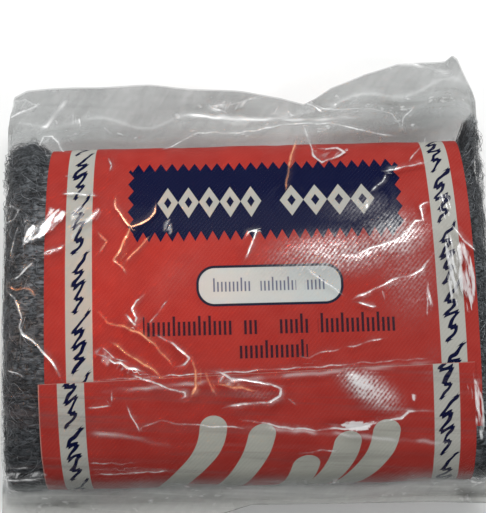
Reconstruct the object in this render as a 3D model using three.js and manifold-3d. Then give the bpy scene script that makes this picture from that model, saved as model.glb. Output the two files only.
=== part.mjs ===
// A steel wool pad in its clear film pack, in millimetres.
//
// A thick batt of fine steel wool has a printed paper band wrapped round its middle,
// and both lie in a clear film bag. The bag is sealed along its near hem and its two
// sides, and its mouth is the long flap on the far side.
//
// X runs along the pad, Y from the hem to the mouth, and Z is up. The pack lies flat,
// its underside at Z = 0, with the origin under the middle of its bounding box.

import * as THREE from 'three';
import { LoftGeometry } from 'three/addons/geometries/LoftGeometry.js';
import { mergeVertices } from 'three/addons/utils/BufferGeometryUtils.js';
import Module from 'manifold-3d';

// ---- driving dimensions ----

const padLength = 158;
const padDepth = 114; // across, where the band holds it
const padHeight = 43;
const padSquareness = 2.3; // 2 is an ellipse, and more is squarer
const padFlat = 0.93; // the underside is cut flat at this share of the half height
const farPuff = { left: 3, right: 11 }; // how far the wool swells past the band, on the mouth's side
const nearPuff = 2; // and on the hem's side
const puffLength = 3; // the swelling grows over this length beyond the band's edge

const bandWidth = 138; // along the pad
const bandShift = 3.5; // the band lies this far to the right of the pad's middle
const bandPaper = 0.3;
const bandSkew = 2.2; // its two ends miss each other by this much at the overlap
const innerEndY = -40; // the covered end, on top of the pad
const outerEndY = -21; // the end that shows, lying over it

const filmWall = 0.4;
const fit = 0.4; // free space between one layer and the next
const bagHem = 8; // the sealed strip on the near side
const endFit = 2.4; // free space past each end of the pad
const sideSeal = 1.5; // the sealed strip at each end
const seamHeight = 17; // of the hem and seals above the floor
const flapLength = { left: 19, right: 23 }; // the unfilled film at the mouth
const flapRise = 5; // the flap's edge stands this much above the seals
const mouthGap = 1; // between the flap's two layers

// ---- worked out ----

const padFloor = filmWall + fit + bandPaper + fit;
const halfDepth = padDepth / 2;
const halfHeight = padHeight / (1 + padFlat);
const padMiddleZ = padFloor + padFlat * halfHeight;
const bandLeft = bandShift - bandWidth / 2;
const bandRight = bandShift + bandWidth / 2;
const packTop = padFloor + padHeight + fit + 2 * bandPaper + 2 * fit + filmWall;

const bulgeHalfLength = padLength / 2 + endFit + filmWall;
const bagHalfLength = bulgeHalfLength + sideSeal;
const bulgeNear = halfDepth + nearPuff + fit + 2 * filmWall;
const leftToRight = (ends, x) => ends.left + (ends.right - ends.left) * rightward(x);
const bulgeFar = (x) => bulgeNear - nearPuff + leftToRight(farPuff, x);
const flapEdge = (x) => bulgeFar(x) + leftToRight(flapLength, x);
const bagNearEdge = -bulgeNear - bagHem;
const bagFarEdge = flapEdge(bagHalfLength);
const middleY = (bagNearEdge + bagFarEdge) / 2;

// From 0 on the left half to 1 near the right end, where the pack swells and its flap stands out.
function rightward(x) {
	return THREE.MathUtils.smoothstep(x, 10, 62);
}

// A power of a signed number that keeps its sign, for superellipses.
function signedPower(value, power) {
	return Math.sign(value) * Math.abs(value) ** power;
}

// ---- shared shapes ----

// Numbers from low to high with their steps shortest at both ends, as a cosine gives.
function easedSteps(low, high, count) {
	return Array.from({ length: count + 1 }, (_, i) =>
		THREE.MathUtils.lerp(low, high, (1 - Math.cos((Math.PI * i) / count)) / 2));
}

// A point of the pad's section, grown outwards, at an angle from +Y towards +Z.
// The section is a superellipse whose underside is flat.
function padOutline(angle, grown, far = halfDepth, near = halfDepth, height = halfHeight) {
	const across = signedPower(Math.cos(angle), 2 / padSquareness);
	const up = signedPower(Math.sin(angle), 2 / padSquareness);
	const y = across * (across > 0 ? far + grown : near + grown);
	const z = padMiddleZ + up * (height + grown);
	return { y, z: Math.max(z, padFloor - grown) };
}

// The loft through some sections, with each of its points once, as a closed body needs.
function closedLoft(sections) {
	const loft = new LoftGeometry(sections, { capStart: true, capEnd: true });
	const pointsOnly = new THREE.BufferGeometry();
	pointsOnly.setAttribute('position', loft.attributes.position);
	pointsOnly.setIndex(loft.index);
	const closed = mergeVertices(pointsOnly, 1e-4);
	closed.computeVertexNormals();
	return closed;
}

function namedMesh(name, geometry, look) {
	const mesh = new THREE.Mesh(geometry, new THREE.MeshStandardMaterial(look));
	mesh.name = name;
	mesh.position.y = -middleY;
	return mesh;
}

// ---- wool_pad: one soft batt, held in at its middle and swollen at its two ends ----

function woolPad() {
	const around = 44;
	const endRound = { length: 13, heightLoss: 9 };
	const cornerRound = 4;

	function section(x) {
		const past = Math.max(x - bandRight, bandLeft - x) - bandSkew / 2 - fit;
		const puff = THREE.MathUtils.smoothstep(past, 0, puffLength);
		const fromEnd = padLength / 2 - Math.abs(x);
		const rounding = (length) => 1 - Math.sqrt(1 - Math.max(1 - fromEnd / length, 0) ** 2);
		const farSwell = x > 0 ? farPuff.right : farPuff.left;
		const far = halfDepth + puff * farSwell - cornerRound * rounding(cornerRound);
		const near = halfDepth + puff * nearPuff - cornerRound * rounding(cornerRound);
		const height = halfHeight - endRound.heightLoss * rounding(endRound.length);
		return Array.from({ length: around }, (_, i) => {
			const { y, z } = padOutline((2 * Math.PI * i) / around, 0, far, near, height);
			return new THREE.Vector3(x, y, z);
		});
	}

	const half = padLength / 2;
	const leftEnd = [0, 0.3, 1.2, 3, 6, 9, 12].map((step) => -half + step);
	const rightEnd = [5, 4, 3, 2, 1.2, 0.3, 0].map((step) => half - step);
	const stations = [...leftEnd, bandLeft, -30, 30, bandRight, ...rightEnd];
	const look = { color: 0x2d3133, roughness: 0.6, metalness: 0.7 };
	return namedMesh('wool_pad', closedLoft(stations.map(section)), look);
}

// ---- label_band: a paper strip wrapped once round the pad, with its ends overlapped and glued ----

function labelBand() {
	const stations = 92;
	const riseLength = 0.16; // radians over which the outer end climbs on to the inner one
	const angleAt = (y) => Math.acos(signedPower(y / halfDepth, padSquareness / 2));
	const start = angleAt(innerEndY);
	const turn = 2 * Math.PI + start - angleAt(outerEndY);

	function section(station) {
		const travelled = turn * station;
		const pastStart = travelled - 2 * Math.PI;
		const climbed = THREE.MathUtils.smoothstep(pastStart, -2 * riseLength, -riseLength);
		const inside = fit + climbed * (bandPaper + fit / 2);
		const inner = padOutline(start - travelled, inside);
		const outer = padOutline(start - travelled, inside + bandPaper);
		const slip = bandSkew * (0.5 - station);
		return [
			new THREE.Vector3(bandLeft + slip, inner.y, inner.z),
			new THREE.Vector3(bandLeft + slip, outer.y, outer.z),
			new THREE.Vector3(bandRight + slip, outer.y, outer.z),
			new THREE.Vector3(bandRight + slip, inner.y, inner.z),
		];
	}

	const sections = Array.from({ length: stations + 1 }, (_, i) => section(i / stations));
	return namedMesh('label_band', closedLoft(sections), { color: 0xb02a24, roughness: 0.45, metalness: 0 });
}

// ---- film_bag: two clear films sealed at the hem and both ends, with the pad between them ----

// The bag's filled shape, or with inset above 0 the space inside it, as a closed solid.
// Each section runs over the top from the hem to the mouth, and back below.
function bagSolid(inset) {
	const squareness = 2.6;
	const shoulder = 8; // the films close on each other over this length at each end
	const overPad = easedSteps(-1, 1, 18);
	const isSpace = inset > 0;
	const length = bulgeHalfLength - inset;
	const topLift = packTop - seamHeight - inset;
	const bottomLift = seamHeight + 1.5; // a little past the floor, where it is cut flat
	const filmHalf = isSpace ? mouthGap / 2 : mouthGap / 2 + filmWall;

	function section(x) {
		const intoShoulder = Math.max(Math.abs(x) - (length - shoulder), 0) / shoulder;
		const fullness = Math.sqrt(Math.max(1 - intoShoulder ** 2, 0));
		const near = bulgeNear - inset;
		const far = bulgeFar(x) - inset;
		const flapTip = flapEdge(x) + (isSpace ? 2 : 0);
		const seam = (y) => seamHeight + flapRise * THREE.MathUtils.smoothstep(y, far, flapTip);

		const edge = (share) => {
			const y = share > 0 ? share * far : share * near;
			const lift = (1 - Math.abs(share) ** squareness) ** (1 / squareness) * fullness;
			const top = seam(y) + filmHalf + lift * (topLift - filmHalf);
			const bottom = Math.max(seam(y) - filmHalf - lift * bottomLift, inset);
			return { y, top, bottom };
		};
		const flat = (y) => ({ y, top: seam(y) + filmHalf, bottom: seam(y) - filmHalf });
		const profile = [
			...(isSpace ? [] : [flat(-near - bagHem)]),
			...overPad.map(edge),
			flat(far + (flapTip - far) * 0.35),
			flat(far + (flapTip - far) * 0.7),
			flat(flapTip),
		];
		const over = profile.map(({ y, top }) => new THREE.Vector3(x, y, top));
		const under = profile.map(({ y, bottom }) => new THREE.Vector3(x, y, bottom));
		return [...over, ...under.reverse()].reverse();
	}

	const leftShoulder = [0, 0.1, 0.4, 0.9, 1.7, 3, 5, shoulder].map((step) => -length + step);
	const rightShoulder = leftShoulder.map((x) => -x).reverse();
	const filled = [...leftShoulder, -40, -10, 10, 25, 40, 55, ...rightShoulder];
	const stations = isSpace ? filled : [-bagHalfLength, ...filled, bagHalfLength];
	return closedLoft(stations.map(section));
}

async function filmBag() {
	const wasm = await Module();
	wasm.setup();

	function toSolid(geometry) {
		return new wasm.Manifold(new wasm.Mesh({
			numProp: 3,
			vertProperties: new Float32Array(geometry.attributes.position.array),
			triVerts: new Uint32Array(geometry.index.array),
		}));
	}

	const cut = toSolid(bagSolid(0)).subtract(toSolid(bagSolid(filmWall))).getMesh();
	const geometry = new THREE.BufferGeometry();
	geometry.setAttribute('position', new THREE.BufferAttribute(cut.vertProperties, 3));
	geometry.setIndex(new THREE.BufferAttribute(cut.triVerts, 1));
	geometry.computeVertexNormals();
	const look = { color: 0xdfe3e2, roughness: 0.12, metalness: 0, transparent: true, opacity: 0.35 };
	return namedMesh('film_bag', geometry, look);
}

const pack = new THREE.Group();
pack.name = 'steel_wool_pack';
pack.add(woolPad(), labelBand(), await filmBag());

export default pack;
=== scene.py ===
"""A steel wool pad in its film pack: a batt of dark steel wool with a printed paper band round its
middle, in a clear film bag. It lies flat on a pale floor. Metres, +Z up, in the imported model's frame."""

import math

import bpy
import numpy as np
from mathutils import Matrix, Vector


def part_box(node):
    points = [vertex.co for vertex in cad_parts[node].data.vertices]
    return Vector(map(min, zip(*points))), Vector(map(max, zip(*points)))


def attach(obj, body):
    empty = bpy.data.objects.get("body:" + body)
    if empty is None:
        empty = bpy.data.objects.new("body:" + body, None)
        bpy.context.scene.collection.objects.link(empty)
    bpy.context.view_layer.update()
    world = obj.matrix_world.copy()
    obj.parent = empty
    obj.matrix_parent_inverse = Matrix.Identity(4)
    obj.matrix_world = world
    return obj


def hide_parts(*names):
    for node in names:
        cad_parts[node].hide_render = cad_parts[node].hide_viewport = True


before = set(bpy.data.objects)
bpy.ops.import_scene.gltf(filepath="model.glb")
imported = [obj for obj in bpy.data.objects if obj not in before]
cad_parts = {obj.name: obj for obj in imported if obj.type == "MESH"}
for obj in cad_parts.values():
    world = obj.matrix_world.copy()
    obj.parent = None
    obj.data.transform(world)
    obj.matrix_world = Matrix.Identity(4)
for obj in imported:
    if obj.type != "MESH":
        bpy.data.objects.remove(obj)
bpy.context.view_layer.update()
MM = 0.001


# ---- Camera ----
# It looks steeply down on the pack from a hand's reach above, a little on the hem's side, and is
# turned slightly so that the pack lies a degree or two off level.

band_low, band_high = (Vector(corner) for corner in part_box("label_band"))
pad_low, pad_high = (Vector(corner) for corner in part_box("wool_pad"))
bag_low, bag_high = (Vector(corner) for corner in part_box("film_bag"))
axis_y = (band_low.y + band_high.y) / 2

camera_height = math.radians(79.8)  # above level
camera_roll = math.radians(-1.4)
camera_distance = 340 * MM
aim = Vector((-0.9 * MM, axis_y + 15 * MM, pad_high.z + 0.7 * MM))

forward = Vector((0, math.cos(camera_height), -math.sin(camera_height)))
level_right = Vector((1, 0, 0))
level_up = level_right.cross(forward)
right = level_right * math.cos(camera_roll) + level_up * math.sin(camera_roll)
up = level_up * math.cos(camera_roll) - level_right * math.sin(camera_roll)


def linked_object(name, data):
    """A new object that holds a mesh, a lamp or a camera, linked to the scene."""
    made = bpy.data.objects.new(name, data)
    bpy.context.collection.objects.link(made)
    return made


lens = bpy.data.cameras.new("camera")
lens.lens = 74.4
lens.clip_start = 0.01
camera = linked_object("camera", lens)
turn_camera = Matrix((right, up, -forward)).transposed().to_4x4()
camera.matrix_world = Matrix.Translation(aim - forward * camera_distance) @ turn_camera
bpy.context.scene.camera = camera


# ---- Wool pad ----
# One batt of fine steel wool, rolled flat, soft and dark, held in by the band and puffed out past
# its edges. The body is the matted mass, and loose strands lie over it.

SQUARENESS = 2.3  # the power in the section: 2 is an ellipse, and more is squarer
CUT_BELOW = 0.93  # the section's flat lies this share of its half height under its axis
half_height = (pad_high.z - pad_low.z) / (1 + CUT_BELOW)
middle_z = pad_low.z + CUT_BELOW * half_height
half_depth = (band_high.y - band_low.y) / 2 - 0.7 * MM
half_length = (pad_high.x - pad_low.x) / 2


def signed_power(value, power):
    """A power of a number's size, with the number's sign kept."""
    return np.sign(value) * np.abs(value) ** power


def pad_section(angle, grown, far=0.0, near=0.0, thinned=0.0):
    """The pad's section at an angle from +Y towards +Z, as (y, z).

    A superellipse round the pad's axis, cut flat below. It is grown outwards all round, then
    swollen by far and near on those two sides and thinned in height, all in metres.
    """
    across = signed_power(np.cos(angle), 2 / SQUARENESS)
    above = signed_power(np.sin(angle), 2 / SQUARENESS)
    reach = half_depth + grown + np.where(across > 0, far, near)
    y = axis_y + across * reach
    z = middle_z + above * (half_height + grown - thinned)
    return y, np.maximum(z, pad_low.z - grown)


def waves(points, seed, wavelength, count=24):
    """A smooth random field from about -2 to 2: the sum of sine waves in random directions.

    Their wavelengths lie round the one given, and the sum is divided by the root of half their
    number, so that its spread is 1.
    """
    rng = np.random.default_rng(seed)
    directions = rng.normal(size=(count, points.shape[-1]))
    directions /= np.linalg.norm(directions, axis=1, keepdims=True)
    directions *= 2 * np.pi / (wavelength * rng.uniform(0.7, 1.5, (count, 1)))
    phases = rng.uniform(0, 2 * np.pi, count)
    return np.sin(points @ directions.T + phases).sum(axis=-1) / math.sqrt(count / 2)


def smooth(value, low, high):
    """From 0 at low to 1 at high, with no corner at either."""
    share = np.clip((value - low) / (high - low), 0, 1)
    return share * share * (3 - 2 * share)


def keep_values(mesh, name, values):
    """Gives each of a mesh's points a number, under a name that its material reads."""
    attribute = mesh.attributes.new(name, "FLOAT", "POINT")
    attribute.data.foreach_set("value", np.ascontiguousarray(values, dtype=np.float32).ravel())


def grid_object(name, points, wrap=False, uv=None, attributes=None):
    """A piece of quads over a rows x columns array of points; wrap joins the last column to the first.

    The UV map and the attributes, by name, are arrays of the same rows and columns.
    """
    rows, columns = points.shape[:2]
    index = np.arange(rows * columns).reshape(rows, columns)
    if wrap:
        index = np.concatenate([index, index[:, :1]], axis=1)
    quads = np.stack([index[:-1, :-1], index[1:, :-1], index[1:, 1:], index[:-1, 1:]], axis=-1)
    mesh = bpy.data.meshes.new(name)
    mesh.from_pydata(points.reshape(-1, 3).tolist(), [], quads.reshape(-1, 4).tolist())
    if uv is not None:
        layer = mesh.uv_layers.new(name="sheet")
        corners = np.empty(len(mesh.loops), dtype=np.int32)
        mesh.loops.foreach_get("vertex_index", corners)
        layer.data.foreach_set("uv", uv.reshape(-1, 2)[corners].ravel())
    for attribute, values in (attributes or {}).items():
        keep_values(mesh, attribute, values)
    mesh.shade_smooth()
    return linked_object(name, mesh)


ROUND_X = 10 * MM  # the pad's ends are rounded over this length
ROUND_PATH = 14 * MM  # the same, measured along the surface
CAP_PATH = 15 * MM  # and the way on from there to the middle of the end
CAP_BULGE = 1 * MM
END_LOSS = 9 * MM  # the rounding takes this much off the half height
CORNER_LOSS = 2.5 * MM  # and this much off the half depth
LEFT_PUFF = 3 * MM  # the batt puffs out past the band by this much on the far side
RIGHT_PUFF = 11 * MM
NEAR_PUFF = 1 * MM
straight = half_length - ROUND_X
full_path = straight + ROUND_PATH


def pad_surface(along, angle, lifted=0.0):
    """A point of the pad at a distance along its surface from the middle, and an angle round it.

    The path runs straight to the rounding, and round a quarter turn that lowers and narrows the
    section. Then it goes inwards over the end, and shrinks to a line across the end's middle.
    """
    side = np.sign(along)
    path = np.abs(along)
    turn = np.clip((path - straight) / ROUND_PATH, 0, 1) * np.pi / 2
    inwards = np.clip((path - straight - ROUND_PATH) / CAP_PATH, 0, 1)
    bulge = CAP_BULGE * (1 - (1 - inwards) ** 2)
    x = np.minimum(path, straight) + (ROUND_X + lifted) * np.sin(turn) + bulge
    past_band = np.where(side > 0, x - (band_high.x + 0.2 * MM), x + (band_low.x - 0.2 * MM))
    puff = smooth(past_band, 0, 6 * MM)
    rounding = 1 - np.cos(turn)
    shrunk = (half_height - END_LOSS) * inwards
    y, z = pad_section(
        angle,
        lifted * np.cos(turn),
        far=np.where(side > 0, RIGHT_PUFF, LEFT_PUFF) * puff - CORNER_LOSS * rounding - shrunk,
        near=NEAR_PUFF * puff - CORNER_LOSS * rounding - shrunk,
        thinned=END_LOSS * rounding + shrunk,
    )
    return np.stack([side * x, y, z], axis=-1)


def wool_body():
    """The matted mass: the pad's surface with soft lumps, held smooth under the band."""
    along = np.linspace(-1, 1, 171) * (full_path + CAP_PATH)
    angle = np.linspace(0, 2 * np.pi, 181)[:-1]
    along, angle = np.meshgrid(along, angle, indexing="ij")
    bare = pad_surface(along, angle)
    outside = np.maximum(bare[..., 0] - band_high.x, band_low.x - bare[..., 0])
    free = smooth(outside, -1 * MM, 4 * MM)
    lumps = 0.35 * MM * waves(bare / MM, 11, 14) + 0.22 * MM * waves(bare / MM, 12, 4)
    lifted = free * lumps - 0.25 * MM
    lifted = np.where(bare[..., 2] < pad_low.z + 0.5 * MM, np.minimum(lifted, 0), lifted)
    return grid_object("wool_pad_body", pad_surface(along, angle, lifted), wrap=True)


STRANDS = 3900  # at each end
STRAND_LIFT = 1.1 * MM  # the furthest that one arches off the surface, before the mouth side's extra


def strand_paths(rng, count, steps, low, high):
    """(centre, outwards) of loose strands over one end of the pad: rows of points, and the
    surface's direction at each.

    A strand starts at a random place between two distances along the pad, heads a little more
    often along it than round it, and turns by a slow random curl. It arches off the surface in
    its middle.
    """
    share = np.linspace(0, 1, steps)
    length = rng.uniform(3, 12, (count, 1)) * MM
    heading = rng.normal(0, 1.2, (count, 1)) + rng.choice([0, np.pi], (count, 1))
    steady_turn = rng.normal(0, 1.9, (count, 1)) * share
    swing = rng.normal(0, 0.5, (count, 1))
    swings = rng.uniform(0.5, 1.6, (count, 1))
    first_swing = rng.uniform(0, 6.3, (count, 1))
    heading = heading + (steady_turn + swing * np.sin(2 * np.pi * share * swings + first_swing))
    step = length / (steps - 1)
    along = rng.uniform(low, high, (count, 1)) + np.cumsum(step * np.cos(heading), axis=1)
    mean_radius = half_depth * 0.73
    angle = rng.uniform(0, 2 * np.pi, (count, 1)) + np.cumsum(step * np.sin(heading), axis=1) / mean_radius
    along = low + np.abs(along - low)  # a strand that would run out at either end turns back
    along = high - np.abs(high - along)
    fuzzier = 1 + 1.6 * smooth(np.cos(angle), 0.3, 0.9)  # on the mouth's side
    arch = rng.uniform(0, 1, (count, 1)) ** 2 * STRAND_LIFT * fuzzier * np.sin(np.pi * share)
    lifted = arch + 0.05 * MM + rng.normal(0, 0.04, (count, steps)) * STRAND_LIFT
    past_band = np.where(along > 0, along - band_high.x, band_low.x - along)
    lifted = np.where(past_band < 0.4 * MM, -0.3 * MM, lifted)  # none shows through the band
    centre = pad_surface(along, angle, lifted)
    centre[..., 2] = np.maximum(centre[..., 2], pad_low.z)
    return centre, pad_surface(along, angle, lifted + MM) - centre


def unit(vectors):
    """Each vector, made 1 long."""
    return vectors / (np.linalg.norm(vectors, axis=-1, keepdims=True) + 1e-12)


def wool_strands(name, seed, low, high):
    """Loose strands over one end of the pad, as thin three-sided tubes, closed at both ends.

    Three points stand round each point of a strand's path, square to it. The tube's width is a
    root of a half sine wave, so that it thins towards both ends.
    """
    rng = np.random.default_rng(seed)
    count, steps, sides = STRANDS, 9, 3
    centre, outwards = strand_paths(rng, count, steps, low, high)
    forwards = unit(np.gradient(centre, axis=1))
    sideways = unit(np.cross(forwards, outwards))
    normal = np.cross(sideways, forwards)
    share = np.clip(np.linspace(0, 1, steps), 0.02, 0.98)
    thick = rng.uniform(0.03, 0.075, (count, 1)) * MM * np.sqrt(np.sin(np.pi * share))
    turns = np.arange(sides) * 2 * np.pi / sides
    rings = centre[:, :, None] + thick[..., None, None] * (
        np.cos(turns)[:, None] * sideways[:, :, None] + np.sin(turns)[:, None] * normal[:, :, None]
    )
    index = np.arange(count * steps * sides).reshape(count, steps, sides)
    following = np.roll(index, -1, axis=2)
    quads = np.stack([index[:, :-1], index[:, 1:], following[:, 1:], following[:, :-1]], axis=-1)
    ends = np.concatenate([index[:, 0], index[:, -1, ::-1]])
    mesh = bpy.data.meshes.new(name)
    mesh.from_pydata(rings.reshape(-1, 3).tolist(), [], quads.reshape(-1, 4).tolist() + ends.tolist())
    keep_values(mesh, "strand_shade", np.repeat(rng.uniform(0, 1, count), steps * sides))
    mesh.shade_smooth()
    return linked_object(name, mesh)


def new_material(name):
    """An empty material with its Principled shader, as (material, nodes, links, shader)."""
    material = bpy.data.materials.new(name)
    material.use_nodes = True
    nodes = material.node_tree.nodes
    return material, nodes, material.node_tree.links, nodes["Principled BSDF"]


def color_ramp(nodes, *stops):
    """A colour ramp through (position, colour) stops."""
    ramp = nodes.new("ShaderNodeValToRGB")
    elements = ramp.color_ramp.elements
    elements[0].position, elements[0].color = stops[0]
    elements[1].position, elements[1].color = stops[-1]
    for position, color in stops[1:-1]:
        elements.new(position).color = color
    return ramp


def add_bump(nodes, links, shader, height, distance, strength):
    """A bump from a height socket to the shader's normal."""
    bump = nodes.new("ShaderNodeBump")
    bump.inputs["Distance"].default_value = distance
    bump.inputs["Strength"].default_value = strength
    links.new(height, bump.inputs["Height"])
    links.new(bump.outputs["Normal"], shader.inputs["Normal"])


def wool_material():
    """Dark steel fibre: long noise streaks along the pad, lighter where they ride high."""
    material, nodes, links, shader = new_material("steel_wool")
    place = nodes.new("ShaderNodeTexCoord")
    stretch = nodes.new("ShaderNodeMapping")
    stretch.inputs["Scale"].default_value = (240, 800, 800)
    links.new(place.outputs["Object"], stretch.inputs["Vector"])
    fibre = nodes.new("ShaderNodeTexNoise")
    fibre.inputs["Scale"].default_value = 1.0
    fibre.inputs["Detail"].default_value = 6
    fibre.inputs["Distortion"].default_value = 1.6
    links.new(stretch.outputs["Vector"], fibre.inputs["Vector"])
    ramp = color_ramp(nodes, (0.40, (0.010, 0.012, 0.014, 1)), (0.72, (0.16, 0.174, 0.188, 1)))
    links.new(fibre.outputs["Fac"], ramp.inputs["Fac"])
    links.new(ramp.outputs["Color"], shader.inputs["Base Color"])
    add_bump(nodes, links, shader, fibre.outputs["Fac"], 0.4 * MM, 0.9)
    shader.inputs["Metallic"].default_value = 0.5
    shader.inputs["Roughness"].default_value = 0.5
    return material


def strand_material():
    """One strand of steel: each has its own grey, from nearly black to a worn bright one."""
    material, nodes, links, shader = new_material("steel_strand")
    shade = nodes.new("ShaderNodeAttribute")
    shade.attribute_name = "strand_shade"
    ramp = color_ramp(
        nodes,
        (0, (0.012, 0.013, 0.015, 1)),
        (0.75, (0.088, 0.095, 0.103, 1)),
        (1, (0.40, 0.42, 0.44, 1)),
    )
    links.new(shade.outputs["Fac"], ramp.inputs["Fac"])
    links.new(ramp.outputs["Color"], shader.inputs["Base Color"])
    shader.inputs["Metallic"].default_value = 0.7
    shader.inputs["Roughness"].default_value = 0.42
    return material


over_end = full_path + 10 * MM
pad_body = wool_body()
pad_body.data.materials.append(wool_material())
strand_finish = strand_material()
left_strands = wool_strands("wool_strands_left", 21, -over_end, -straight + 4 * MM)
right_strands = wool_strands("wool_strands_right", 22, straight - 2 * MM, over_end)
for piece in (left_strands, right_strands):
    piece.data.materials.append(strand_finish)
for piece in (pad_body, left_strands, right_strands):
    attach(piece, "root")
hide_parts("wool_pad")


# ---- Label band ----
# A strip of thin printed paper wrapped once round the pad. It starts under its own end, goes over
# the top, down the far side and back below, and its outer end is glued down on top near the hem.

PAPER = 0.12 * MM
BAND_WIDTH = 138 * MM
SIDE_SLIP = 2.2 * MM  # the strip runs out of true by this much over its length
END_SKEW = 3.9 * MM  # its outer end is cut this much out of square
INNER_END = 40 / 57  # where its ends lie on top, as shares of the way from the axis to the hem's side
OUTER_END = 20 / 57
band_left = band_low.x + SIDE_SLIP / 2
inner_turn = math.acos(-(INNER_END ** (SQUARENESS / 2)))
outer_turn = math.acos(-(OUTER_END ** (SQUARENESS / 2))) - 2 * math.pi


def label_band():
    """The strip as a grid: columns lie across it, and rows step along it from the inner end.

    The path is the pad's section grown by half a millimetre, and by as much again where it climbs
    on to its own start. Shallow waves run over it. Its UV map is in metres: the place across the
    strip, and the distance back from the outer end.
    """
    angle = np.linspace(inner_turn, outer_turn, 6001)
    turned = inner_turn - angle
    climbed = smooth(turned, 2 * np.pi - 0.32, 2 * np.pi - 0.16)  # done just before its own start
    y, z = pad_section(angle, 0.5 * MM + climbed * 0.5 * MM)
    length = np.concatenate([[0], np.cumsum(np.hypot(np.diff(y), np.diff(z)))])
    whole = length[-1]
    top_middle = whole - np.interp(inner_turn - math.pi / 2, turned, length)
    across = np.linspace(0, BAND_WIDTH, 116)
    along = np.linspace(0, 1, 236)[:, None] * (whole - END_SKEW * (1 - across / BAND_WIDTH))
    across = np.broadcast_to(across, along.shape)
    x = band_left + across + SIDE_SLIP * (0.5 - along / whole)
    place = np.stack([x, along], axis=-1) / MM
    ripple = 0.10 * MM * waves(place, 31, 26) + 0.035 * MM * waves(place, 32, 9)
    lift = np.clip(ripple, -0.12 * MM, 0.2 * MM)
    y_slope = np.interp(along, length, np.gradient(y, length))
    z_slope = np.interp(along, length, np.gradient(z, length))
    y_at = np.interp(along, length, y) + z_slope * lift
    z_at = np.interp(along, length, z) - y_slope * lift
    points = np.stack([x, y_at, z_at], axis=-1)
    sheet = np.stack([across, whole - along], axis=-1)
    return grid_object("label_band_sheet", points, uv=sheet), whole, top_middle


class Field:
    """A number that varies over a surface, held as a shader socket.

    Arithmetic on it adds the Math node that does that step.
    """

    def __init__(self, socket):
        self.socket = socket

    def math(self, operation, *others, clamp=False):
        tree = self.socket.id_data
        node = tree.nodes.new("ShaderNodeMath")
        node.operation = operation
        node.use_clamp = clamp
        for slot, value in zip(node.inputs, (self, *others)):
            if isinstance(value, Field):
                tree.links.new(value.socket, slot)
            else:
                slot.default_value = value
        return Field(node.outputs["Value"])

    def __add__(self, other):
        return self.math("ADD", other)

    def __sub__(self, other):
        return self.math("SUBTRACT", other)

    def __mul__(self, other):
        return self.math("MULTIPLY", other)

    def __truediv__(self, other):
        return self.math("DIVIDE", other)

    def __neg__(self):
        return self.math("MULTIPLY", -1)

    def __abs__(self):
        return self.math("ABSOLUTE")

    def inside(self, softness=0.18):
        """1 where it is over 0 and 0 where it is under, with a short ramp between."""
        return self.math("MULTIPLY_ADD", 1 / softness, 0.5, clamp=True)

    def zigzag(self, pitch):
        """A triangle wave from 0 to 1, with one tooth in each pitch."""
        return self.math("PINGPONG", pitch / 2) / (pitch / 2)

    def at_least(self, other):
        return self.math("MAXIMUM", other)

    def at_most(self, other):
        return self.math("MINIMUM", other)

    or_else = at_least  # of two masks: inside either
    and_also = at_most  # and inside both

    def clamped(self):
        """The number held between 0 and 1."""
        return self.math("MULTIPLY", 1.0, clamp=True)

    def between(self, low, high):
        """How far it lies inside the stretch from low to high: less than 0 outside."""
        return (self - low).and_also(-self + high)


def noise_field(tree, vector, scale, detail=3, distortion=0.0):
    """Blender's noise, from 0 to 1, over a vector socket."""
    noise = tree.nodes.new("ShaderNodeTexNoise")
    noise.inputs["Scale"].default_value = scale
    noise.inputs["Detail"].default_value = detail
    noise.inputs["Distortion"].default_value = distortion
    tree.links.new(vector, noise.inputs["Vector"])
    return Field(noise.outputs["Fac"])


def layered(tree, base, layers):
    """Colours laid one after another over a base colour, each where its mask is 1, as a socket."""
    under = None
    for color, mask in layers:
        mix = tree.nodes.new("ShaderNodeMix")
        mix.data_type = "RGBA"
        mix.inputs["B"].default_value = color
        tree.links.new(mask.socket, mix.inputs["Factor"])
        if under is None:
            mix.inputs["A"].default_value = base
        else:
            tree.links.new(under, mix.inputs["A"])
        under = mix.outputs["Result"]
    return under


RIB_PITCH = 1.05  # millimetres
RIB_LEAN = math.radians(50)


def slant_ribs_group():
    """A shader node group: fine ribs on the slant, from -1 to 1, over a place in millimetres.

    They are a sine of the distance across the ribs.
    """
    group = bpy.data.node_groups.new("slant_ribs", "ShaderNodeTree")
    for name in ("Across", "Along"):
        group.interface.new_socket(name, in_out="INPUT", socket_type="NodeSocketFloat")
    group.interface.new_socket("Ribs", in_out="OUTPUT", socket_type="NodeSocketFloat")
    entry = group.nodes.new("NodeGroupInput")
    outlet = group.nodes.new("NodeGroupOutput")
    across = Field(entry.outputs["Across"]) * math.sin(RIB_LEAN)
    along = Field(entry.outputs["Along"]) * math.cos(RIB_LEAN)
    ribs = ((across + along) * (2 * math.pi / RIB_PITCH)).math("SINE")
    group.links.new(ribs.socket, outlet.inputs["Ribs"])
    return group


def slant_ribs(tree, across, along):
    """The ribs group placed in a material, as a field."""
    node = tree.nodes.new("ShaderNodeGroup")
    node.node_tree = ribs_group
    tree.links.new(across.socket, node.inputs["Across"])
    tree.links.new(along.socket, node.inputs["Along"])
    return Field(node.outputs["Ribs"])


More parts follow.
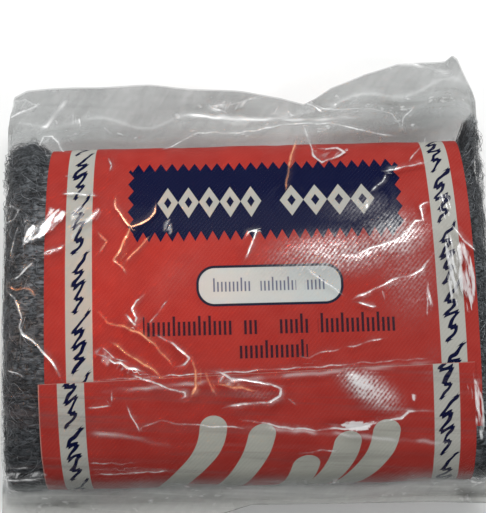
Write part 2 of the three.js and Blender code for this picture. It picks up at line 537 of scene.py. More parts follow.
ribs_group = slant_ribs_group()
RED = (0.36, 0.043, 0.034, 1)
DEEP_RED = (0.30, 0.024, 0.019, 1)
NAVY = (0.001, 0.003, 0.027, 1)
# painted sheen: a lighter navy laid on the crests of the panel's ribs
NAVY_RIB_SHEEN = (0.007, 0.011, 0.045, 1)
CREAM = (0.38, 0.375, 0.34, 1)
STROKE_CREAM = (0.38, 0.38, 0.335, 1)
BOX_FILL = (0.47, 0.50, 0.49, 1)
BOX_LINE = (0.012, 0.014, 0.03, 1)
SMALL_TICKS = (0.10, 0.11, 0.17, 1)
LONG_TICKS = (0.03, 0.012, 0.02, 1)
CUT_EDGE = (0.42, 0.20, 0.17, 1)  # bare paper, tinted by the red beside it


def pinked_panel(p, q):
    """A rectangle whose four sides are cut in teeth, finer along the long sides."""
    long_sides = q.between(20.6, 50) - p.zigzag(3.75) * 3.4
    ends = p.between(26.8, 116.5) - q.zigzag(5.2) * 1.9
    return long_sides.and_also(ends).inside()


def lozenges(p, q, first, last, count):
    """A row of outlined lozenges between two places across the strip."""
    middle = 34.2
    half_high = 5.6
    hollow = 0.36  # the open part's share of the whole
    pitch = (last - first) / count
    beside = abs((p - first).math("WRAP", pitch, 0.0) - pitch / 2) / (pitch / 2)
    above = abs(q - middle) / half_high
    ring = beside + above
    return ring.between(hollow, 1.0).inside(0.05) * p.between(first, last).inside()


def rounded_box(p, q):
    """How far a point lies outside a box with round corners, less than 0 inside."""
    radius = 5.6
    half_wide = 23.2
    half_high = 6.3
    beside = (abs(p - 72.2) - (half_wide - radius)).at_least(0)
    above = (abs(q - 5.7) - (half_high - radius)).at_least(0)
    return (beside * beside + above * above).math("SQRT") - radius


def either(masks):
    """The largest of several fields."""
    whole = masks[0]
    for mask in masks[1:]:
        whole = whole.or_else(mask)
    return whole


def tick_row(p, q, foot, height, pitch, width, words):
    """A row of upright ticks in groups. More than a third, at random, are taller than the rest."""
    tree = p.socket.id_data
    chance = tree.nodes.new("ShaderNodeTexWhiteNoise")
    chance.noise_dimensions = "1D"
    tree.links.new((p / pitch).math("FLOOR").socket, chance.inputs["W"])
    tall = (Field(chance.outputs["Value"]) - 0.62).inside(0.02)
    top = tall * (height * 0.28) + (foot + height * 0.72)
    tick = (-abs(p.math("WRAP", pitch, 0.0) - pitch / 2) + width / 2).and_also(q - foot).and_also(top - q)
    return tick.and_also(either([p.between(start, end) for start, end in words])).inside(0.22)


def brush_marks(p, v, middle):
    """Slanted brush waves that shrink and start again, down the middle of a side strip.

    The stroke is where a point lies near a wave of two sines across the strip, one twice as long
    as the other. Its distance is divided by the wave's steepness, so that the stroke keeps its
    width.
    """
    lean = 0.9
    repeat = 19.4
    period = 4.4
    swell = 0.45  # the long sine's share of the short one
    beside = p - middle
    leaning = (v + beside * lean).math("WRAP", repeat, 0.0)
    reach = (-leaning / 3).math("EXPONENT") * 1.3 + 1.1
    turn = leaning * (2 * math.pi / period)
    wave = (turn.math("SINE") + (turn * 0.5).math("SINE") * swell) * reach
    steep = 2 * math.pi / period
    slope = (turn.math("COSINE") * steep + (turn * 0.5).math("COSINE") * (steep * swell / 2)) * reach
    across_lean = slope * -lean + 1
    away = abs(beside - wave) / (slope * slope + across_lean * across_lean).math("SQRT")
    half_width = turn.math("COSINE") * 0.12 + 0.68
    return (half_width - away).and_also(leaning.between(0.8, 17.0)).inside()


def brush_bars(p, v):
    """Five broad brush strokes across the outer end: each leans, bends a little and has a round head."""
    lean = 0.42
    head_lean = 14  # each head lies this far past its foot
    half_wide = 4.0
    end = 100  # they run down the near side to here
    strokes = []
    for foot, head, bend in ((41, 15, 2.6), (57, 18, 1.4), (71, 29, 1.2), (84, 21, 1.6), (96, 17.5, 2.2)):
        down = v - head
        centre = -down * lean + (foot + head_lean) + (down * 0.16).math("SINE") * bend
        from_head = (-down / half_wide + 1).at_least(0)
        half_width = (-(from_head * from_head) + 1).at_least(0).math("SQRT") * half_wide
        strokes.append((half_width - abs(p - centre) * 0.92).and_also(down))
    return either(strokes).inside().and_also((-v + end).inside())


def label_material(top_middle):
    """Red paper with its print, finely ribbed on the slant, and white where it is cut.

    The print is laid out in millimetres: p runs across the strip from its left edge, v along it
    from the outer end, and q towards the mouth's side from the top's middle line.
    """
    material, nodes, links, shader = new_material("printed_paper")
    tree = material.node_tree
    sheet = nodes.new("ShaderNodeUVMap")
    sheet.uv_map = "sheet"
    split = nodes.new("ShaderNodeSeparateXYZ")
    links.new(sheet.outputs["UV"], split.inputs["Vector"])
    p = Field(split.outputs["X"]) / MM
    v = Field(split.outputs["Y"]) / MM
    q = -v + top_middle / MM

    mottle = noise_field(tree, sheet.outputs["UV"], 140, detail=4)
    rib = slant_ribs(tree, p, v)

    slant = 0.0033  # the side strips run this much out of true
    p_strip = p - (v - top_middle / MM) * slant
    strips = p_strip.between(6.8, 15.4).or_else(p_strip.between(125.5, 133.7))
    shaken_p = p_strip + (noise_field(tree, sheet.outputs["UV"], 260, detail=0) - 0.5) * 1.8
    shaken_v = v + (noise_field(tree, sheet.outputs["UV"], 150, detail=0) - 0.5) * 3.2
    marks = brush_marks(shaken_p, shaken_v, 11.1).or_else(brush_marks(shaken_p, shaken_v + 7, 129.6))
    panel = pinked_panel(p, q)
    trim = lozenges(p, q, 36.5, 70.5, 5).or_else(lozenges(p, q, 76.5, 107.5, 4))
    box = rounded_box(p, q)
    box_words = [(54, 66.2), (69.2, 80.6), (83.4, 90)]
    small_ticks = tick_row(p, q, foot=3.8, height=4.4, pitch=1.25, width=0.5, words=box_words)
    first_words = [(31.5, 60), (63, 68.3), (74.5, 84.2), (87, 111.5)]
    first_line = tick_row(p, q, foot=-10.0, height=6.2, pitch=1.62, width=0.82, words=first_words)
    second_line = tick_row(p, q, foot=-17.6, height=5.6, pitch=1.62, width=0.82, words=[(61.5, 83.5)])
    cut = v - (-p + BAND_WIDTH / MM) * (END_SKEW / BAND_WIDTH)
    torn_side = (-p + 0.3).and_also(-v + 42)

    color = layered(tree, RED, [
        (DEEP_RED, mottle * 1.2 - rib * 0.14),
        (CREAM, strips.inside()),
        (NAVY, marks),
        (NAVY, panel),
        # painted sheen on the crests of the panel's ribs
        (NAVY_RIB_SHEEN, panel * rib.inside(1.6) * mottle),
        (CREAM, trim),
        (BOX_FILL, (-box).inside()),
        (BOX_LINE, (-abs(box + 0.1) + 0.42).inside()),
        (SMALL_TICKS, small_ticks),
        (LONG_TICKS, first_line.or_else(second_line)),
        (STROKE_CREAM, brush_bars(p, v)),
        (CUT_EDGE, (-cut + 0.12).or_else(torn_side).inside(0.3)),
    ])
    links.new(color, shader.inputs["Base Color"])
    add_bump(nodes, links, shader, (rib * 0.5 + mottle).socket, 0.05 * MM, 0.8)
    links.new((panel * 0.15 + mottle * 0.12 + 0.42).socket, shader.inputs["Roughness"])
    shader.inputs["Specular IOR Level"].default_value = 0.03
    return material


band, band_length, band_top_middle = label_band()
paper_body = band.modifiers.new("paper", "SOLIDIFY")
paper_body.thickness = PAPER
paper_body.offset = 0
band.modifiers.new("even_shade", "WEIGHTED_NORMAL")
band.data.materials.append(label_material(band_top_middle))
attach(band, "root")
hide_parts("label_band")


# ---- Film bag ----
# A clear polythene bag, heat-sealed along its near hem and both ends. Its mouth is the unfilled
# flap on the far side, whose edge dips where the bag has been pulled. The film is one thin
# surface, drawn tight over the pad in places and creased where it has been handled.

SEAL_HEIGHT = 17 * MM
FLAP_RISE = 5 * MM  # the flap lifts this much from the pad to its edge
FAR_EASE = 3.3  # how late the film bends down: the power in its section on the mouth's side
NEAR_EASE = 6.5  # and on the hem's side
FAR_CURVE = 0.22  # how gently the film turns level at the seals, as a share of its height
NEAR_CURVE = 0.1
FILM_GAP = 0.7 * MM  # the two films lie this far apart where they are loose
DEEPEST_DIP = -0.3  # millimetres: a fold goes no deeper, so that it stays off the paper
END_SEAL = 1.5 * MM
SHOULDER = 8 * MM  # the films close on each other over this length at each end
film_top = bag_high.z - 0.4 * MM
film_half_length = bag_high.x
bulge_near = -(bag_low.y - axis_y) - 5.5 * MM  # reaches from the axis to where the films meet
bulge_far_left = bulge_near + 7 * MM
bulge_far_right = bulge_far_left + 10 * MM

# the flap's edge and the hem's edge, as places along the pad and reaches from its axis
flap_edge = np.array([
    (-83.3, 68), (-82.6, 73), (-80.7, 79), (-76, 81), (-59, 81.7), (-32, 81.8), (0, 79), (14, 76.6),
    (22, 74.4), (26, 76.2), (32, 80), (44, 84.6), (56, 87.6), (73, 88.9), (75.6, 90.8), (77.4, 89.5),
    (80.5, 82.5), (82.4, 78), (83.3, 74.5),
]) * MM
hem_edge = np.array([
    (-83.3, -66), (-82, -68), (-14, -68), (0, -64.2), (60, -64.6), (82, -65.6), (83.3, -64),
]) * MM

# Creases by kind: each is a path of (along, across) places in millimetres.
white_creases = [
    # over the wool at the left
    [(-74, 49), (-71, 53), (-70, 64), (-67, 64.5), (-61, 55), (-68, 54.5), (-73, 49.5)],
    [(-78, 34), (-75.5, 34), (-73, 32), (-75, 29), (-78, 28.5)],
    [(-65, 17), (-58, 20)],
    [(-74, 9), (-68, 14.5)],
    [(-76.5, 6), (-73.5, 3), (-71.5, -3), (-72, -6), (-71, -8.5), (-68, -10.5), (-61.5, -17.5), (-59, -22)],
    [(-79, -54), (-65.5, -54)],
    # over the flap
    [(-83, 72), (-78, 74), (-72.5, 76), (-77, 78), (-81, 78), (-82.5, 73)],
    [(-30, 54.5), (-23.5, 57.5), (-15.5, 63), (4, 65), (19.5, 66.5), (30.5, 65.5), (42, 60), (52, 57)],
    [(-4.5, 71.5), (-11.5, 74.5), (-2, 75), (7.5, 77)],
    [(22.5, 75), (29, 71.5)],
    # over the band, from the far side to the near one
    [(21.5, 64), (23.5, 51), (26, 48), (29.5, 49.5), (34, 52), (31.5, 54), (25.5, 53.5)],
    [(46.5, 43), (51, 44), (54.5, 45), (60.5, 46)],
    [(46.5, 41.5), (45.5, 40), (41.5, 35.5)],
    [(-60, 38), (-55.5, 38), (-51.5, 37.5), (-48, 36.5)],
    [(59.5, 31.5), (56.5, 30), (57.5, 25.5), (55, 25.5), (50, 20), (47, 19), (40, 16.5), (35, 14.5),
     (31, 14.5)],
    [(60, 15), (56.5, 9.5), (52.5, 7.5), (46.5, 6), (41, 3.5), (34, 0.5)],
    [(66.5, 23), (69, 19.5), (70.5, 17.5), (73, 14.5)],
    [(0, 21), (1, 23), (3.5, 23.5), (2.5, 20), (1, 16), (-0.5, 14)],
    [(-32, 3.5), (-35, 1.5), (-36.5, -1.5), (-35, -4), (-35.5, -6.5), (-38.5, -3)],
    [(35, -1), (40.5, -2.5)],
    [(-28.5, -10), (-24.5, -12), (-21, -15), (-18.5, -17.5), (-20, -19), (-21.5, -19.5)],
    [(-49.5, -14.5), (-44.5, -16.5), (-42, -18), (-40, -18), (-38, -20), (-33, -21)],
    [(-37, -22), (-32.5, -23.5), (-22, -27.5), (-20, -28), (-20, -29), (-22, -30)],
    [(-12.5, -21), (-9, -22), (-6, -24), (3, -25), (7, -26), (10, -27.5), (9.5, -30), (6.5, -31.5),
     (-7.5, -32.5)],
    [(-2, -37), (12.5, -40), (21, -40.5), (34, -40), (42, -38), (47, -37.5), (49.5, -35.5), (58, -35.5)],
    [(70.5, -25.5), (71.5, -29), (71, -34)],
]
fine_creases = [
    [(-73, 27), (-76, 12)],
    [(-76, -19.5), (-73, -20.5), (-70.5, -22)],
    [(-78, -50), (-70, -50)],
    [(-60, 73), (-60, 69)],
    [(-58, 71.5), (-57.5, 68)],
    [(-48.5, 67), (-45.5, 64)],
    [(11.5, 71), (12.5, 73.5)],
    [(60.5, 71.5), (57, 67.5), (53.5, 59.5)],
    [(52, 57), (54, 63), (52.5, 68.5), (44, 70.5), (33, 72), (22, 75)],
    [(61.5, 56), (58, 50.5), (54.5, 46.5)],
    [(-45.5, 52), (-44, 49), (-44.5, 46)],
    [(-59.5, 45), (-57, 45)],
    [(17, 13), (20, 10), (23.5, 7), (27, 4.5), (30.5, 1.5)],
    [(-25, 1), (-29, -3.5), (-31, -6)],
    [(57, 2.5), (57, -5.5)],
    [(57.5, 6), (58.5, -3)],
    [(15.5, -17.5), (19, -18), (22.5, -16.5), (28.5, -15.5)],
    [(31.5, -15), (42.5, -12.5)],
    [(-43, -26.5), (-42.5, -30.5)],
    [(-50.5, -32), (-43, -31.5)],
    [(12, -30.5), (14.5, -32.5)],
    [(-38.5, -31), (-36.5, -35.5), (-34.5, -39.5)],
    [(-33.5, -38), (-27.5, -36.5), (-21, -37.5), (-2, -39.5)],
    [(15, -47.5), (27, -46.5)],
    [(-50.5, -49), (-35.5, -49.5)],
    [(-50.5, -52.5), (-27, -52.5)],
    [(-50, -23.5), (-20, -22.5), (20, -21), (58, -19)],
    [(-46, -13), (-42, -16.5), (-38, -18)],
]
# these are painted orange: a painted reflection of a warm light
warm_creases = [
    [(-42, 37), (-42, 32.5), (-39, 28), (-37, 26), (-34, 26.5), (-31, 28), (-29, 30.5), (-28.5, 33.5)],
    [(-37, 26), (-38, 23), (-40.5, 18), (-42, 14.5), (-39.5, 12.5), (-38.5, 10.5)],
    [(-31, 22), (-34, 19), (-38, 14.5)],
    [(-46.5, 18), (-44.5, 21), (-47, 24)],
    [(-47, -2), (-44, -6), (-39.5, -6.5), (-35.5, -8.5), (-32, -10.5), (-28.5, -14), (-24, -19)],
    [(-42.5, -12), (-38, -15.5), (-31.5, -19.5), (-26.5, -23.5)],
    [(-18, -17.5), (-16.5, -21.5), (-16.5, -26), (-18, -29)],
    [(-13.5, -21.5), (-13, -24.5), (-11, -28)],
    [(-10, -25.5), (-5, -26.5), (2, -28)],
    [(-75.5, 7), (-73, 5.5), (-70.5, 6), (-68.5, 5.5), (-67.5, 3.5)],
    [(18.5, 57), (16, 50.5), (14.5, 43.5), (13.5, 37.5)],
]
broad_folds = [
    [(-45, -27), (-5, -24.5), (35, -22), (62, -20)],
    [(-50, -39.5), (-40, -40.5), (-31, -43), (-25, -44.5)],
    [(-2, -39), (17.5, -41), (37, -43), (58, -45.5), (66, -46)],
    [(53, 88), (65.5, 87), (77, 84.5)],
    [(-72, 66), (-62, 78)],
    [(-22, 72), (10, 69), (40, 67)],
]
# each kind's name, its paths, and its height and half width in millimetres
crease_kinds = [
    ("white", white_creases, 0.55, 1.5),
    ("fine", fine_creases, 0.30, 1.2),
    ("warm", warm_creases, 0.35, 1.3),
    ("broad", broad_folds, 0.45, 2.4),
]
# Folds whose whole face is painted with a highlight: how brightly, and the outline.
bright_faces = [
    (0.84, [(-71.5, 29), (-70, 29), (-67.5, 26.5), (-65, 28.5), (-63.5, 33), (-60, 32.5), (-57.5, 31),
            (-59, 28), (-61.5, 25), (-66, 22.5), (-71.5, 20), (-71, 24)]),
    (0.55, [(-57, 31), (-53.5, 33.5), (-48, 33), (-46, 31), (-47.5, 28), (-50.5, 27), (-54, 24.5),
            (-56.5, 19.5), (-56, 26.5)]),
    (0.7, [(-66, 16.5), (-62, 18.5), (-58, 20.5), (-58.5, 19), (-62.5, 17)]),
    (0.3, [(-78.5, 35), (-75, 34), (-72.5, 32), (-74.5, 29), (-77.5, 28)]),
    (0.7, [(-57, 38.5), (-48.5, 38), (-48.5, 36.5), (-57, 37)]),
    (0.55, [(-27, 23.5), (-26, 27), (-24, 28), (-23, 22)]),
    (0.9, [(38, 32), (40.5, 33.5), (42, 31.5), (39.5, 29)]),
    (0.4, [(23, 54), (26.5, 52), (34, 52.5), (30.5, 49.5), (26, 48.5)]),
    (1.3, [(28, -39), (32, -37.8), (37, -38.6), (40, -37.5), (36.5, -41), (31.5, -41.2)]),
    (0.6, [(-36, -4), (-35.5, 0), (-32.5, 4), (-31, 2.5), (-33.5, -1), (-32, -4.5), (-34.5, -6)]),
    (0.4, [(-49, -14), (-45, -13), (-41, -17), (-38, -21), (-43, -20.5), (-46.5, -17.5)]),
    (0.5, [(-13, -21), (-8.5, -21.5), (-4, -25), (0.5, -27), (-4.5, -28), (-9.5, -25)]),
    (0.3, [(-82, 77.5), (-78.5, 78.5), (-73.5, 78), (-76.5, 75), (-81.5, 71.5)]),
    (0.25, [(-73, 50), (-71.5, 55.5), (-69.5, 64), (-64, 63), (-60.5, 54), (-66, 55.5), (-70.5, 53)]),
    (0.4, [(-12.5, 74.5), (-7, 76), (3, 76), (-0.5, 73), (-5.5, 72)]),
    (1.1, [(50.3, -30), (51.8, -30), (51.6, -32.2), (50.8, -32.2)]),
    (0.7, [(-80, -51), (-66, -51.3), (-64, -53), (-80, -53.8)]),
]
# Patches of painted shine: middle, half length, half width, turn in degrees and strength.
# The first kind is painted with the glints of fine crumples, and the second with the hatched
# sheen of film that clings to the ribbed paper.
crumple_glint_patches = [
    ((69.5, 8), 11, 3.0, 97, 1.0),
    ((65.5, 9), 13, 2.0, 93, 0.92),
    ((69.8, -1), 5, 1.4, 95, 0.7),
    ((57.8, 1), 7, 1.0, 97, 0.6),
    ((64.5, 30), 5, 2.6, 88, 0.65),
    ((44, 0), 3.2, 1.8, 120, 0.55),
    ((68.5, -30), 6, 1.2, 95, 0.6),
    ((71.5, -35), 11, 1.6, 93, 0.88),
]
cling_sheen_patches = [
    ((30, 15), 38, 12, 6, 0.75),
    ((48, 20), 18, 13, 0, 0.8),
    ((52, 8), 17, 26, 0, 0.52),
    ((37.5, -28), 17, 7.5, -32, 0.9),
    ((35, -26), 9, 3.5, -32, 1.25),
    ((2, -28.5), 12, 4, -5, 0.35),
    ((-22, 9), 24, 10, 40, 0.34),
    ((38, 30), 20, 9, 0, 0.42),
    ((58, -20), 12, 6, 80, 0.3),
]


def along_path(place, path):
    """(gap, share) of each place: its distance from a path, and how far along the path it lies.

    The gap is more than 0 on the path's left and less than 0 on its right.
    """
    path = np.array(path, dtype=float)
    lengths = np.linalg.norm(np.diff(path, axis=0), axis=1)
    starts = np.concatenate([[0], np.cumsum(lengths)])
    nearest = np.full(place.shape[:-1], 1e9)
    share = np.zeros(place.shape[:-1])
    for start, length, a, b in zip(starts, lengths, path[:-1], path[1:]):
        run = np.clip(((place - a) @ (b - a)) / length ** 2, 0, 1)
        gap = np.linalg.norm(place - a - run[..., None] * (b - a), axis=-1)
        side = np.where((b - a)[0] * (place - a)[..., 1] >= (b - a)[1] * (place - a)[..., 0], 1, -1)
        closer = gap < np.abs(nearest)
        share = np.where(closer, (start + run * length) / starts[-1], share)
        nearest = np.where(closer, side * gap, nearest)
    return nearest, share


def placed_creases(place, paths):
    """(gap, strength) of each place's nearest crease: its distance in millimetres, and its strength.

    The paths wander a little, and the distance is held within 3. The strength swells and sinks
    along the crease, fades at both its ends, and is 0 more than 2.2 mm away from it.
    """
    gap = np.full(place.shape[:-1], 9.0)
    strength = np.zeros(place.shape[:-1])
    swelling = 0.75 + 0.35 * np.clip(waves(place, 91, 11), -1, 1)
    bent = place + 0.14 * np.stack([waves(place, 92, 7), waves(place, 93, 7)], axis=-1)
    for path in paths:
        own_gap, share = along_path(bent, path)
        closer = np.abs(own_gap) < np.abs(gap)
        fade = smooth(share, -0.06, 0.15) * smooth(-share, -1.06, -0.85) * swelling
        strength = np.where(closer, fade * smooth(-np.abs(own_gap), -2.2, -1.2), strength)
        gap = np.where(closer, own_gap, gap)
    return np.clip(gap, -3, 3), strength


def ridge(gap, strength, height, half_width):
    """The height of a crease: a tent over the gap, with a rounded crest."""
    return height * strength * np.maximum(1 - np.sqrt((gap / half_width) ** 2 + 0.04), 0)


def scattered_folds(place, seed):
    """The film's soft shape in millimetres: billows, and ridges on the zero lines of random fields.

    Each field's ridges are kept to patches by another field.
    """
    wander = np.stack([waves(place, seed + 1, 30), waves(place, seed + 2, 30)], axis=-1)
    bent = place + 2.5 * wander
    height = 0.30 * waves(place, seed + 3, 40)
    for k, (wavelength, tall, narrow) in enumerate([(34, 0.36, 0.26), (17, 0.22, 0.3), (8, 0.08, 0.4)]):
        field = np.abs(waves(bent, seed + 10 + k, wavelength, count=12))
        patches = smooth(waves(place, seed + 20 + k, 45), 0.2, 1.4)
        height = height + tall * np.maximum(1 - np.sqrt((field / narrow) ** 2 + 0.05), 0) * patches
    return height


def face_mask(place, faces):
    """Outlines filled at their strengths, fading over half a millimetre on each side of their edges.

    A place is inside an outline where a line from it runs through an odd number of its sides.
    """
    mask = np.zeros(place.shape[:-1])
    x, y = place[..., 0], place[..., 1]
    for strength, outline in faces:
        gap, _ = along_path(place, outline + outline[:1])
        inside = np.zeros(place.shape[:-1], dtype=bool)
        for (x_a, y_a), (x_b, y_b) in zip(outline, outline[1:] + outline[:1]):
            if y_a != y_b:
                crossing = x_a + (y - y_a) * (x_b - x_a) / (y_b - y_a)
                inside ^= ((y_a > y) != (y_b > y)) & (x < crossing)
        depth = np.where(inside, np.abs(gap), -np.abs(gap))
        mask = np.maximum(mask, strength * smooth(depth, -0.5, 0.5))
    return mask


def patch_mask(place, patches, core):
    """Ellipses at full strength out to the core's share of their size, and nothing past 1.2 of it."""
    mask = np.zeros(place.shape[:-1])
    for middle, half_long, half_wide, turn, strength in patches:
        away = place - middle
        cos, sin = math.cos(math.radians(turn)), math.sin(math.radians(turn))
        round_it = np.hypot(
            (away[..., 0] * cos + away[..., 1] * sin) / half_long,
            (away[..., 1] * cos - away[..., 0] * sin) / half_wide,
        )
        mask = np.maximum(mask, strength * smooth(-round_it, -1.2, -core))
    return mask


def film_bag():
    """The bag as one open grid: the rows are sections, one after another along the pad.

    A row starts at the mouth's upper edge, crosses the flap, goes over the pad to the hem, and
    comes back below to the mouth's lower edge. Over the pad, the film's height above the seals
    falls off by a power of the reach and turns level at both sides. Towards both ends of the pad
    it closes to the seals by a quarter circle.
    """
    share = np.linspace(-1, 1, 300)[:, None]  # the rows lie closer together towards both ends
    x = (0.7 * share + 0.3 * np.sin(share * np.pi / 2)) * film_half_length
    into_shoulder = np.clip((np.abs(x) - film_half_length + END_SEAL + SHOULDER) / SHOULDER, 0, 1)
    fullness = np.sqrt(1 - into_shoulder ** 2)
    tip = np.interp(x, *flap_edge.T)
    hem = np.interp(x, *hem_edge.T)
    far = bulge_far_left + (bulge_far_right - bulge_far_left) * smooth(x, 10 * MM, 62 * MM)
    far = far + 1.6 * MM * waves(x[..., None] / MM, 41, 34)
    far = np.minimum(far, tip - 1.5 * MM)

    def over_pad(count, height):
        """(reach, lift) at points an equal way apart round the section, from far to near."""
        reach = np.linspace(1, -1, 4001)
        share_left = 1 - np.abs(reach) ** np.where(reach > 0, FAR_EASE, NEAR_EASE)
        curve = np.where(reach > 0, FAR_CURVE, NEAR_CURVE)
        share_left = (np.hypot(share_left, curve) - curve) / (np.hypot(1, curve) - curve)
        steps = np.hypot(np.diff(reach) * bulge_near, np.diff(share_left) * height)
        length = np.concatenate([[0], np.cumsum(steps)])
        even = np.linspace(0, length[-1], count)
        reach = np.interp(even, length, reach)
        lift = np.interp(even, length, share_left) * fullness * height
        return np.where(reach > 0, reach * far, reach * bulge_near), lift

    def flat_part(near_end, far_end, count):
        """Even steps from one reach to another, leaving out the first."""
        return near_end + (far_end - near_end) * np.linspace(0, 1, count + 1)[1:]

    def layer(flap_steps, pad_steps, hem_steps, height):
        """(reach, lift) of one of the bag's two films, from the mouth to the hem."""
        y, lift = over_pad(pad_steps, height)
        flap = flat_part(far, tip, flap_steps)[:, ::-1]
        seal = flat_part(-bulge_near + 0 * x, hem, hem_steps)
        y = np.concatenate([flap, y, seal], axis=1)
        lift = np.pad(lift, ((0, 0), (flap_steps, hem_steps)))
        return y, lift

    def seal_line(y):
        """The seals' height: level, and rising out to the flap's edge."""
        return SEAL_HEIGHT + FLAP_RISE * smooth(y, far, far + 20 * MM)

    from_end = film_half_length - np.abs(x)
    unsealed = smooth(from_end, 0.0, 3 * MM)

    def opened(y):
        """How far each film stands off the seals' height: nothing at the hem and both ends."""
        return FILM_GAP * unsealed * smooth(y, -bulge_near - 1 * MM, -bulge_near + 3 * MM)

    def flat_place(y):
        """Each point's (along, across) place in millimetres."""
        return np.stack([np.broadcast_to(x, y.shape), y], axis=-1) / MM

    def film(y, z, height):
        """The surface moved along its own normal by its creases, which die out at the seals."""
        points = np.stack([np.broadcast_to(x, y.shape), axis_y + y, z], axis=-1)
        normal = unit(np.cross(np.gradient(points, axis=1), np.gradient(points, axis=0)))
        height = np.maximum(height, DEEPEST_DIP) * smooth(from_end, 0.5 * MM, 5 * MM)
        return points - normal * height[..., None] * MM

    top_y, top_lift = layer(flap_steps=34, pad_steps=206, hem_steps=13, height=film_top - SEAL_HEIGHT)
    low_y, low_lift = layer(flap_steps=12, pad_steps=56, hem_steps=5, height=SEAL_HEIGHT + 1.5 * MM)
    top_place = flat_place(top_y)

    height = scattered_folds(top_place, 51)
    creases = {}
    for kind, paths, tall, half_width in crease_kinds:
        creases[kind] = placed_creases(top_place, paths)
        height += ridge(*creases[kind], tall, half_width)
    upper = film(top_y, seal_line(top_y) + top_lift + opened(top_y), height)
    lower_height = -scattered_folds(flat_place(low_y), 71)
    lower = film(low_y, seal_line(low_y) - low_lift - opened(low_y), lower_height)
    lower[..., 2] = np.maximum(lower[..., 2], 0.1 * MM)
    lower[:, -1] = upper[:, -1]

    def haze(y):
        """How milky the film is: clear over the pad, 0.8 on the flap and 1.2 on the hem."""
        start = half_depth + 2 * MM * smooth(x, 66 * MM, 74 * MM)
        over_flap = smooth(y, start, start + 7 * MM)
        over_hem = smooth(-y, half_depth - 5 * MM, half_depth + 4 * MM)
        return 0.8 * over_flap + 1.2 * over_hem

    masks = {
        "haze": haze(top_y),
        "crumple_glints": patch_mask(top_place, crumple_glint_patches, core=0.75),
        "cling_sheen": patch_mask(top_place, cling_sheen_patches, core=0.1),
        "shining": face_mask(top_place, bright_faces),
        "drawn": smooth(-top_y, 16 * MM, 30 * MM) + 0.25 * smooth(top_y, half_depth, half_depth + 8 * MM),
    }
    for kind, (gap, strength) in creases.items():
        masks[kind + "_gap"] = gap
        masks[kind + "_strength"] = strength
    below = {name: np.zeros(low_y.shape) for name in masks}  # the lower film has no marks of its own
    below["haze"] = haze(low_y)

    def joined(above, under):
        """The upper film's rows run on into the lower film's, which go the other way."""
        return np.concatenate([above, under[:, -2::-1]], axis=1)

    attributes = {name: joined(masks[name], below[name]) for name in masks}
    return grid_object("film_bag_sheet", joined(upper, lower), attributes=attributes)


LOOSE_DARK = (0.15, 0.162, 0.158, 1)
LOOSE_LIGHT = (0.29, 0.308, 0.302, 1)
HEM_MILK = (0.59, 0.59, 0.56, 1)
# the clear film's dark colour, which also lays on the painted shade of its dark streaks
CLEAR_SHADE = (0.10, 0.075, 0.075, 1)
GRAZING_SHEEN = (0.40, 0.42, 0.42, 1)
SMEAR = (0.10, 0.10, 0.09, 1)
# white of the painted highlights, and of the creases' own whitening
CREASE_WHITE = (0.95, 0.95, 0.95, 1)
# painted reflection of a warm lamp, on the warm creases
CREASE_WARM = (0.95, 0.36, 0.16, 1)
THINNEST = 0.021  # the clearest film's alpha: under 0.02, a baked film would count as solid


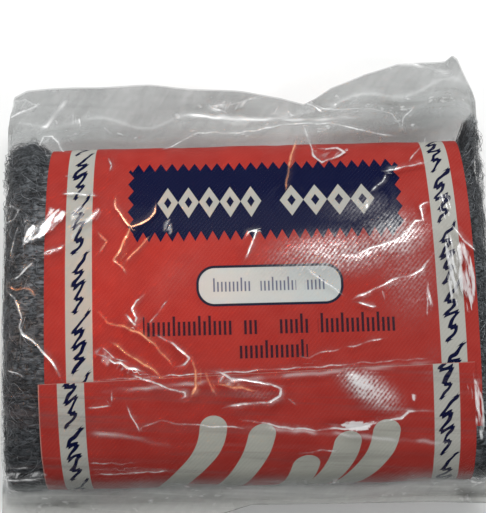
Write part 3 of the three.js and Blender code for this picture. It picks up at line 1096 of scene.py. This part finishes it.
def film_material():
    """Clear polythene: nearly all see-through, milky where it is loose, and white on its creases.

    The white is partly the creases' own whitening and partly painted highlight, and painted
    glints, sheen and shade lie on it too.
    """
    material, nodes, links, shader = new_material("clear_film")
    tree = material.node_tree
    place = nodes.new("ShaderNodeTexCoord").outputs["Object"]
    split = nodes.new("ShaderNodeSeparateXYZ")
    links.new(place, split.inputs["Vector"])
    x = Field(split.outputs["X"]) / MM
    y = Field(split.outputs["Y"]) / MM

    def attribute(name):
        """One of the film's own values by name, as a field."""
        reader = nodes.new("ShaderNodeAttribute")
        reader.attribute_name = name
        return Field(reader.outputs["Fac"])

    def crease_line(kind, half_width, face):
        """A crease's crest, 1 on its middle line, with a fainter face that fades away on one side."""
        gap = attribute(kind + "_gap")
        off_crest = gap / half_width
        crest = (-(off_crest * off_crest)).math("EXPONENT")
        beside = (-abs(gap) / 1.2).math("EXPONENT") * gap.inside(0.4) * face
        return crest.or_else(beside) * attribute(kind + "_strength")

    def streaked(long, wide, turn):
        """Noise drawn out into streaks of a length and width, turned by degrees across the bag."""
        drawn_out = nodes.new("ShaderNodeMapping")
        drawn_out.vector_type = "TEXTURE"
        drawn_out.inputs["Rotation"].default_value = (0, 0, math.radians(turn))
        drawn_out.inputs["Scale"].default_value = (long, wide, (long + wide) / 2)
        links.new(place, drawn_out.inputs["Vector"])
        return noise_field(tree, drawn_out.outputs["Vector"], 1.0, detail=3, distortion=0.5)

    cloud = noise_field(tree, place, 60, detail=3)
    speckle = noise_field(tree, place, 1000, detail=1)
    rib = slant_ribs(tree, x, -y)
    haze = attribute("haze")

    loose = streaked(26 * MM, 9 * MM, 24)
    long_marks = streaked(60 * MM, 2.2 * MM, -3)
    upright_marks = streaked(6 * MM, 0.9 * MM, 96)
    slant_marks = streaked(9 * MM, 2.2 * MM, 55)

    width_change = noise_field(tree, place, 700, detail=1) * 1.5 + 0.15
    white = crease_line("white", 0.37, 0.35)
    fine = crease_line("fine", 0.28, 0.25)
    warm = crease_line("warm", 0.34, 0.25) * width_change
    broad = crease_line("broad", 0.8, 0.5)
    lines = white.or_else(fine * 0.6) * width_change * (haze.at_most(1.0) * -0.55 + 0.95)

    # painted white: painted highlights on creases (with their own whitening), bright faces,
    # fine crumples, film on the ribs and glints, and pale long pulls
    shining = attribute("shining")
    faces = ((slant_marks * 3.8 + shining * 0.8 - 2.02) * shining).clamped()
    # painted glints where the film has fine crumples
    crumple_glints = ((attribute("crumple_glints") * 1.1 + upright_marks * 2.6 - 2.0) * 1.5).clamped()
    # painted hatched sheen where the film clings to the ribbed paper
    cling_sheen = attribute("cling_sheen")
    clung_sheen = cling_sheen * cling_sheen * ((speckle - 0.35) * 1.3 + rib * 0.24 + 0.48).at_least(0)
    drawn = attribute("drawn")
    pulled = ((long_marks - 0.57) * 5).at_least(0) * drawn * 0.1
    glint_noise = noise_field(tree, place, 280, detail=2)
    glints = ((glint_noise + cloud * 0.6 - 0.97) * 4).clamped() * haze.at_most(0.55)
    bright = either([lines, warm, faces, crumple_glints, clung_sheen, broad * 0.35, pulled, glints]).at_most(1.0)

    # how solid the film looks
    facing = nodes.new("ShaderNodeLayerWeight")
    facing.inputs["Blend"].default_value = 0.5
    grazing = Field(facing.outputs["Facing"]).math("POWER", 3.0)
    clear = (cloud * 0.03 + 0.008).at_least(THINNEST)
    milky = haze.at_most(1.0) * (cloud * 0.4 + loose * 0.3 + slant_marks * 0.2 + 0.07)
    # painted shade: dark streaks where the film is drawn, in the clear film's dark colour
    shaded = ((-long_marks + 0.47) * 5).at_least(0) * drawn
    alpha = (clear + milky + bright * 0.8 + grazing * 0.14 + shaded * 0.3).at_most(0.93)
    links.new(alpha.socket, shader.inputs["Alpha"])

    smear = ((cloud * 2.5 - long_marks * 1.5 - 0.75) * 1.6).clamped() * haze.at_most(0.8)
    color = layered(tree, LOOSE_DARK, [
        (LOOSE_LIGHT, ((loose - 0.35) * 3).clamped()),
        (HEM_MILK, ((haze - 0.8) * 2.5).at_least(0)),
        (CLEAR_SHADE, (-haze + 0.3).inside(0.3)),
        (GRAZING_SHEEN, grazing),
        (SMEAR, smear),
        # painted highlights, and the creases' whitening, in white
        (CREASE_WHITE, (bright * 2).at_most(1.0)),
        # painted warm reflection on the warm creases
        (CREASE_WARM, (warm * 3).at_most(0.9)),
    ])
    links.new(color, shader.inputs["Base Color"])
    crinkle = abs(noise_field(tree, place, 170, detail=2, distortion=1.2) - 0.5)
    add_bump(nodes, links, shader, (crinkle + lines * 0.6 + slant_marks * 0.5).socket, 0.3 * MM, 0.6)
    links.new((bright * 0.4 + haze * 0.08).at_most(0.4).socket, shader.inputs["Metallic"])
    links.new((haze * 0.16 + 0.2).socket, shader.inputs["Roughness"])
    return material


film = film_bag()
film.data.materials.append(film_material())
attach(film, "root")
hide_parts("film_bag")


# ---- Floor and lights ----
# The pack lies on a plain pale floor under a pale sky. A wide soft lamp stands beyond the flap, as
# a window would, and small ones stand at both sides. A very weak warm one adds a little warm
# light to the left creases, whose orange is painted.

FLOOR_REACH = 2.0
floor_corners = [(x * FLOOR_REACH, y * FLOOR_REACH, 0) for x, y in ((-1, -1), (1, -1), (1, 1), (-1, 1))]
floor_mesh = bpy.data.meshes.new("floor")
floor_mesh.from_pydata(floor_corners, [], [(0, 1, 2, 3)])
floor = linked_object("floor", floor_mesh)
floor_material, _, _, floor_shader = new_material("floor")
floor_shader.inputs["Base Color"].default_value = (0.92, 0.92, 0.91, 1)
floor_shader.inputs["Roughness"].default_value = 0.7
floor.data.materials.append(floor_material)

world = bpy.data.worlds.new("studio")
bpy.context.scene.world = world
world.use_nodes = True
world.node_tree.nodes["Background"].inputs["Color"].default_value = (0.95, 0.98, 1, 1)
world.node_tree.nodes["Background"].inputs["Strength"].default_value = 0.25


def area_light(name, place, size, power, color=(1, 1, 1), target=(0, 0, middle_z), spread=180):
    """A flat lamp that faces a target: size in metres, power in watts and spread in degrees."""
    data = bpy.data.lights.new(name, "AREA")
    data.shape = "RECTANGLE"
    data.size, data.size_y = size
    data.energy = power
    data.color = color
    data.spread = math.radians(spread)
    light = linked_object(name, data)
    light.location = place
    light.rotation_euler = (Vector(target) - Vector(place)).to_track_quat("-Z", "Y").to_euler()


area_light("window", (0.03, 0.44, 0.68), (0.50, 0.30), 4.9)
area_light("left_lamp", (-0.50, 0.10, 0.45), (0.08, 0.20), 0.9)
area_light("right_lamp", (0.48, -0.20, 0.48), (0.08, 0.20), 1.1)
warm_middle = (-33 * MM, axis_y + 8 * MM, film_top)
area_light("warm_lamp", (-0.36, -0.10, 0.40), (0.04, 0.04), 0.006, (1, 0.35, 0.1), warm_middle, spread=11)
bpy.context.scene.view_settings.view_transform = "Standard"
